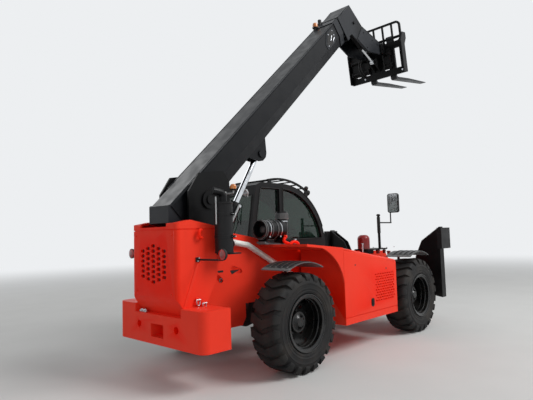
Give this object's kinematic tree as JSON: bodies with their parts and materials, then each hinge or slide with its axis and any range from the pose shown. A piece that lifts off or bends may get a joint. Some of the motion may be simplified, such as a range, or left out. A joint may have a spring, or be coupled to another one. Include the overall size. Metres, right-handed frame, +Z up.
{
  "type": "telescopic handler",
  "caption": "Telescopic handler with a raised telescoping boom, pallet fork carriage, side cab, steered wheels and folding front stabilisers.",
  "frame": {"origin": "centre of the machine's footprint box on the ground, between the tail and the fork tips", "axes": "+X forward towards the forks, +Y to the machine's left, +Z up"},
  "size_m": [6.6609, 2.49, 5.68],
  "materials": {
    "red_enamel": "semi-gloss orange-red enamel",
    "black_enamel": "satin black enamel",
    "axle_casting": "black painted casting",
    "fender": "dark grey, matte",
    "rim": "satin black enamel",
    "tyre": "matte",
    "exhaust": "bright pipe",
    "dark_metal": "heat-proof black",
    "red_cap": "gloss dark red",
    "glass": "green tinted",
    "interior": "matte",
    "amber": "amber lens",
    "lamp": "red lens",
    "rod": "hard chrome"
  },
  "bodies": {
    "chassis": {"chassis_frame": "red_enamel", "boom_tower": "black_enamel", "counterweight": "red_enamel", "rear_cover": "red_enamel", "rear_axle": "axle_casting", "front_axle": "axle_casting", "engine_block": "dark_metal", "arch_panel": "red_enamel", "muffler": "dark_metal", "exhaust_pipe": "exhaust", "air_cleaner": "dark_metal", "front_deck": "black_enamel", "filler_turret": "red_cap", "cab_shell": "black_enamel", "side_glass": "glass", "front_glass": "glass", "rear_glass": "glass", "cab_interior": "interior", "roof_guard": "black_enamel", "side_tank": "black_enamel", "beacon": "amber", "tail_lamp_left": "lamp", "tail_lamp_right": "lamp", "stabiliser_frame": "black_enamel"},
    "boom": {"boom_outer": "black_enamel", "boom_end_cover": "black_enamel"},
    "inner_boom": {"boom_inner": "black_enamel"},
    "carriage": {"carriage": "black_enamel", "backrest": "black_enamel", "fork_left": "black_enamel", "fork_right": "black_enamel"},
    "lift_barrel": {"lift_barrel": "black_enamel"},
    "lift_rod": {"lift_rod": "rod"},
    "tilt_barrel": {"tilt_barrel": "black_enamel"},
    "tilt_rod": {"tilt_rod": "rod"},
    "engine_cover": {"engine_cover": "red_enamel"},
    "cab_door": {"cab_door": "black_enamel", "door_glass": "glass"},
    "knuckle_rear_left": {"knuckle_rear_left": "axle_casting", "fender_rear_left": "fender"},
    "wheel_rear_left": {"tyre_rear_left": "tyre", "rim_rear_left": "rim"},
    "knuckle_rear_right": {"knuckle_rear_right": "axle_casting", "fender_rear_right": "fender"},
    "wheel_rear_right": {"tyre_rear_right": "tyre", "rim_rear_right": "rim"},
    "knuckle_front_left": {"knuckle_front_left": "axle_casting", "fender_front_left": "fender"},
    "wheel_front_left": {"tyre_front_left": "tyre", "rim_front_left": "rim"},
    "knuckle_front_right": {"knuckle_front_right": "axle_casting", "fender_front_right": "fender"},
    "wheel_front_right": {"tyre_front_right": "tyre", "rim_front_right": "rim"},
    "stabiliser_left": {"stabiliser_leg_left": "black_enamel"},
    "stabiliser_barrel_left": {"stabiliser_barrel_left": "black_enamel"},
    "stabiliser_rod_left": {"stabiliser_rod_left": "rod"},
    "stabiliser_right": {"stabiliser_leg_right": "black_enamel"},
    "stabiliser_barrel_right": {"stabiliser_barrel_right": "black_enamel"},
    "stabiliser_rod_right": {"stabiliser_rod_right": "rod"}
  },
  "joints": [
    {"name": "boom_lift", "type": "hinge", "parent": "chassis", "child": "boom", "pos_m": [-2.74, 0, 2.06], "axis": [0, -1, 0], "range_deg": [-50, 20]},
    {"name": "boom_extend", "type": "slide", "parent": "boom", "child": "inner_boom", "axis": [0.723, 0, 0.6909], "range_m": [0, 3]},
    {"name": "carriage_tilt", "type": "hinge", "parent": "inner_boom", "child": "carriage", "pos_m": [1.71, 0, 5.17], "axis": [0, -1, 0], "range_deg": [-60, 40]},
    {"name": "lift_swing", "type": "hinge", "parent": "chassis", "child": "lift_barrel", "pos_m": [-2.648, 0, 1.066], "axis": [0, -1, 0], "range_deg": [-32, 13]},
    {"name": "lift_slide", "type": "slide", "parent": "lift_barrel", "child": "lift_rod", "axis": [0.5239, 0, 0.8518], "range_m": [-0.62, 0.25]},
    {"name": "tilt_swing", "type": "hinge", "parent": "inner_boom", "child": "tilt_barrel", "pos_m": [0.77, 0, 5.39], "axis": [0, -1, 0], "range_deg": [-3.7, 2.5]},
    {"name": "tilt_slide", "type": "slide", "parent": "tilt_barrel", "child": "tilt_rod", "axis": [0.9118, 0, -0.4106], "range_m": [-0.2, 0.134]},
    {"name": "steer_rear_left", "type": "hinge", "parent": "chassis", "child": "knuckle_rear_left", "pos_m": [-1.99, 0.7, 0.583], "axis": [0, 0, 1], "range_deg": [-30, 30]},
    {"name": "roll_rear_left", "type": "hinge", "parent": "knuckle_rear_left", "child": "wheel_rear_left", "pos_m": [-1.99, 0.945, 0.583], "axis": [0, 1, 0], "continuous": true},
    {"name": "steer_rear_right", "type": "hinge", "parent": "chassis", "child": "knuckle_rear_right", "pos_m": [-1.99, -0.7, 0.583], "axis": [0, 0, 1], "range_deg": [-30, 30]},
    {"name": "roll_rear_right", "type": "hinge", "parent": "knuckle_rear_right", "child": "wheel_rear_right", "pos_m": [-1.99, -0.945, 0.583], "axis": [0, 1, 0], "continuous": true},
    {"name": "steer_front_left", "type": "hinge", "parent": "chassis", "child": "knuckle_front_left", "pos_m": [0.935, 0.7, 0.583], "axis": [0, 0, 1], "range_deg": [-30, 30]},
    {"name": "roll_front_left", "type": "hinge", "parent": "knuckle_front_left", "child": "wheel_front_left", "pos_m": [0.935, 0.945, 0.583], "axis": [0, 1, 0], "continuous": true},
    {"name": "steer_front_right", "type": "hinge", "parent": "chassis", "child": "knuckle_front_right", "pos_m": [0.935, -0.7, 0.583], "axis": [0, 0, 1], "range_deg": [-30, 30]},
    {"name": "roll_front_right", "type": "hinge", "parent": "knuckle_front_right", "child": "wheel_front_right", "pos_m": [0.935, -0.945, 0.583], "axis": [0, 1, 0], "continuous": true},
    {"name": "cover_lift", "type": "hinge", "parent": "chassis", "child": "engine_cover", "pos_m": [-1.12, -0.325, 1.435], "axis": [-0.987, 0, 0.1609], "range_deg": [0, 60]},
    {"name": "door_swing", "type": "hinge", "parent": "chassis", "child": "cab_door", "pos_m": [-1.21, 1.124, 1.6], "axis": [0, 0, 1], "range_deg": [0, 85]},
    {"name": "leg_left", "type": "hinge", "parent": "chassis", "child": "stabiliser_left", "pos_m": [1.775, 0.6, 0.645], "axis": [-1, 0, 0], "range_deg": [0, 90]},
    {"name": "ram_swing_left", "type": "hinge", "parent": "chassis", "child": "stabiliser_barrel_left", "pos_m": [1.775, 0.15, 1.04], "axis": [-1, 0, 0], "range_deg": [0, 38]},
    {"name": "ram_slide_left", "type": "slide", "parent": "stabiliser_barrel_left", "child": "stabiliser_rod_left", "axis": [0, 0.9952, 0.0979], "range_m": [0, 0.5]},
    {"name": "leg_right", "type": "hinge", "parent": "chassis", "child": "stabiliser_right", "pos_m": [1.775, -0.6, 0.645], "axis": [1, 0, 0], "range_deg": [0, 90]},
    {"name": "ram_swing_right", "type": "hinge", "parent": "chassis", "child": "stabiliser_barrel_right", "pos_m": [1.775, -0.15, 1.04], "axis": [1, 0, 0], "range_deg": [0, 38]},
    {"name": "ram_slide_right", "type": "slide", "parent": "stabiliser_barrel_right", "child": "stabiliser_rod_right", "axis": [0, -0.9952, 0.0979], "range_m": [0, 0.5]}
  ],
  "couplings": [
    {"joint": "lift_swing", "follows": "boom_lift", "ratio": 0.635},
    {"joint": "lift_slide", "follows": "boom_lift", "m_per_rad": 0.7},
    {"joint": "tilt_swing", "follows": "carriage_tilt", "ratio": 0.06},
    {"joint": "tilt_slide", "follows": "carriage_tilt", "m_per_rad": 0.19},
    {"joint": "steer_rear_right", "follows": "steer_rear_left", "ratio": 1},
    {"joint": "steer_front_right", "follows": "steer_front_left", "ratio": 1},
    {"joint": "ram_swing_left", "follows": "leg_left", "ratio": 0.412},
    {"joint": "ram_slide_left", "follows": "leg_left", "m_per_rad": 0.31},
    {"joint": "ram_swing_right", "follows": "leg_right", "ratio": 0.412},
    {"joint": "ram_slide_right", "follows": "leg_right", "m_per_rad": 0.31}
  ]
}
